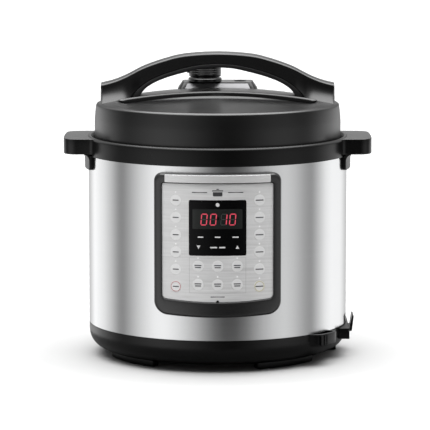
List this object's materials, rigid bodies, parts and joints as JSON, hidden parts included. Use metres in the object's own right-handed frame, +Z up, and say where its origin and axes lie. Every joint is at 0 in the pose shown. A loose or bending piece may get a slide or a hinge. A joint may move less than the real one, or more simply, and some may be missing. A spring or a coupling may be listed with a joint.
{
  "type": "electric pressure cooker",
  "caption": "Round electric pressure cooker with a steel body, a locking domed lid with an arched handle and steam valve, side handles and a front key panel.",
  "frame": {"origin": "centre of the footprint at the worktop, on the pot's axis", "axes": "+Z up, the control panel faces -Y, +X to the right seen from the front"},
  "size_m": [0.3358, 0.306, 0.332],
  "materials": {
    "steel": "vertical studio bands on finely brushed steel",
    "pot_steel": "polished deep-drawn steel",
    "silver_film": "silver film with fine horizontal brushing",
    "aluminium": "as cast or spun",
    "black_plastic": "satin moulded",
    "soft_black": "fine moulded grain",
    "bezel_grey": "satin moulded",
    "rubber": "dull",
    "silicone": "translucent-looking moulded",
    "window": "glossy dark window",
    "key_silver": "silver printed dome",
    "board_green": "solder mask",
    "clear_plastic": "lightly frosted"
  },
  "bodies": {
    "base": {"base_bowl": "soft_black", "inlet_socket": "black_plastic", "spoon_holder": "soft_black", "cord_hook": "soft_black", "outer_shell": "steel", "top_collar": "black_plastic", "handle_underside_right": "black_plastic", "handle_underside_left": "black_plastic", "control_bezel": "bezel_grey", "bezel_trim": "silver_film", "keypad_overlay": "silver_film", "display_window": "window", "display_module": "black_plastic", "control_board": "board_green", "liner_pot": "aluminium", "inner_pot": "pot_steel", "heating_plate": "aluminium", "pressure_switch": "black_plastic", "power_board": "board_green", "foot_pad_1": "rubber", "foot_pad_2": "rubber", "foot_pad_3": "rubber", "foot_pad_4": "rubber"},
    "lid_carrier": {"sealing_ring": "silicone"},
    "lid": {"lid_cover": "black_plastic", "valve_deck": "black_plastic", "handle_top": "black_plastic", "handle_grip": "soft_black", "inner_lid": "pot_steel", "seal_rack": "steel", "steam_pipe": "steel", "anti_block_shield": "steel", "handle_screw_left": "steel", "handle_screw_right": "steel"},
    "knob": {"valve_knob": "black_plastic"},
    "float": {"float_valve": "steel", "float_cap": "silicone"},
    "slider": {"lock_slider": "soft_black"},
    "sensor": {"thermal_sensor": "aluminium", "sensor_spring": "steel"},
    "cup": {"condensation_cup": "clear_plastic"},
    "key_left_1": {"key_left_1": "key_silver"},
    "key_right_1": {"key_right_1": "key_silver"},
    "key_left_2": {"key_left_2": "key_silver"},
    "key_right_2": {"key_right_2": "key_silver"},
    "key_left_3": {"key_left_3": "key_silver"},
    "key_right_3": {"key_right_3": "key_silver"},
    "key_left_4": {"key_left_4": "key_silver"},
    "key_right_4": {"key_right_4": "key_silver"},
    "key_left_5": {"key_left_5": "key_silver"},
    "key_right_5": {"key_right_5": "key_silver"},
    "key_left_6": {"key_left_6": "key_silver"},
    "key_right_6": {"key_right_6": "key_silver"},
    "key_centre_1": {"key_centre_1": "key_silver"},
    "key_centre_2": {"key_centre_2": "key_silver"},
    "key_centre_3": {"key_centre_3": "key_silver"},
    "key_centre_4": {"key_centre_4": "key_silver"},
    "key_centre_5": {"key_centre_5": "key_silver"},
    "key_centre_6": {"key_centre_6": "key_silver"}
  },
  "joints": [
    {"name": "lid_lift", "type": "slide", "parent": "base", "child": "lid_carrier", "axis": [0, 0, 1], "range_m": [0, 0.15]},
    {"name": "lid_turn", "type": "hinge", "parent": "lid_carrier", "child": "lid", "pos_m": [0, 0, 0.242], "axis": [0, 0, 1], "range_deg": [0, 30]},
    {"name": "valve_turn", "type": "hinge", "parent": "lid", "child": "knob", "pos_m": [-0.014, 0.05, 0.3], "axis": [0, 0, 1], "range_deg": [-45, 45]},
    {"name": "float_rise", "type": "slide", "parent": "lid", "child": "float", "axis": [0, 0, 1], "range_m": [0, 0.005]},
    {"name": "lock_slide", "type": "slide", "parent": "lid", "child": "slider", "axis": [-1, 0, 0], "range_m": [0, 0.005], "stiffness_N_per_m": 60, "springref_m": -0.001},
    {"name": "sensor_press", "type": "slide", "parent": "base", "child": "sensor", "axis": [0, 0, -1], "range_m": [0, 0.002], "stiffness_N_per_m": 500, "springref_m": -0.001, "deforming": ["sensor_spring"]},
    {"name": "cup_pull", "type": "slide", "parent": "base", "child": "cup", "axis": [0, 1, 0], "range_m": [0, 0.06]},
    {"name": "press_left_1", "type": "slide", "parent": "base", "child": "key_left_1", "axis": [0.2949, 0.9555, 0], "range_m": [0, 0.0006], "stiffness_N_per_m": 400, "springref_m": -0.0005},
    {"name": "press_right_1", "type": "slide", "parent": "base", "child": "key_right_1", "axis": [-0.2949, 0.9555, 0], "range_m": [0, 0.0006], "stiffness_N_per_m": 400, "springref_m": -0.0005},
    {"name": "press_left_2", "type": "slide", "parent": "base", "child": "key_left_2", "axis": [0.2949, 0.9555, 0], "range_m": [0, 0.0006], "stiffness_N_per_m": 400, "springref_m": -0.0005},
    {"name": "press_right_2", "type": "slide", "parent": "base", "child": "key_right_2", "axis": [-0.2949, 0.9555, 0], "range_m": [0, 0.0006], "stiffness_N_per_m": 400, "springref_m": -0.0005},
    {"name": "press_left_3", "type": "slide", "parent": "base", "child": "key_left_3", "axis": [0.2949, 0.9555, 0], "range_m": [0, 0.0006], "stiffness_N_per_m": 400, "springref_m": -0.0005},
    {"name": "press_right_3", "type": "slide", "parent": "base", "child": "key_right_3", "axis": [-0.2949, 0.9555, 0], "range_m": [0, 0.0006], "stiffness_N_per_m": 400, "springref_m": -0.0005},
    {"name": "press_left_4", "type": "slide", "parent": "base", "child": "key_left_4", "axis": [0.2949, 0.9555, 0], "range_m": [0, 0.0006], "stiffness_N_per_m": 400, "springref_m": -0.0005},
    {"name": "press_right_4", "type": "slide", "parent": "base", "child": "key_right_4", "axis": [-0.2949, 0.9555, 0], "range_m": [0, 0.0006], "stiffness_N_per_m": 400, "springref_m": -0.0005},
    {"name": "press_left_5", "type": "slide", "parent": "base", "child": "key_left_5", "axis": [0.2949, 0.9555, 0], "range_m": [0, 0.0006], "stiffness_N_per_m": 400, "springref_m": -0.0005},
    {"name": "press_right_5", "type": "slide", "parent": "base", "child": "key_right_5", "axis": [-0.2949, 0.9555, 0], "range_m": [0, 0.0006], "stiffness_N_per_m": 400, "springref_m": -0.0005},
    {"name": "press_left_6", "type": "slide", "parent": "base", "child": "key_left_6", "axis": [0.2949, 0.9555, 0], "range_m": [0, 0.0006], "stiffness_N_per_m": 400, "springref_m": -0.0005},
    {"name": "press_right_6", "type": "slide", "parent": "base", "child": "key_right_6", "axis": [-0.2949, 0.9555, 0], "range_m": [0, 0.0006], "stiffness_N_per_m": 400, "springref_m": -0.0005},
    {"name": "press_centre_1", "type": "slide", "parent": "base", "child": "key_centre_1", "axis": [0.1381, 0.9904, 0], "range_m": [0, 0.0006], "stiffness_N_per_m": 400, "springref_m": -0.0005},
    {"name": "press_centre_2", "type": "slide", "parent": "base", "child": "key_centre_2", "axis": [0, 1, 0], "range_m": [0, 0.0006], "stiffness_N_per_m": 400, "springref_m": -0.0005},
    {"name": "press_centre_3", "type": "slide", "parent": "base", "child": "key_centre_3", "axis": [-0.1381, 0.9904, 0], "range_m": [0, 0.0006], "stiffness_N_per_m": 400, "springref_m": -0.0005},
    {"name": "press_centre_4", "type": "slide", "parent": "base", "child": "key_centre_4", "axis": [0.1381, 0.9904, 0], "range_m": [0, 0.0006], "stiffness_N_per_m": 400, "springref_m": -0.0005},
    {"name": "press_centre_5", "type": "slide", "parent": "base", "child": "key_centre_5", "axis": [0, 1, 0], "range_m": [0, 0.0006], "stiffness_N_per_m": 400, "springref_m": -0.0005},
    {"name": "press_centre_6", "type": "slide", "parent": "base", "child": "key_centre_6", "axis": [-0.1381, 0.9904, 0], "range_m": [0, 0.0006], "stiffness_N_per_m": 400, "springref_m": -0.0005}
  ]
}
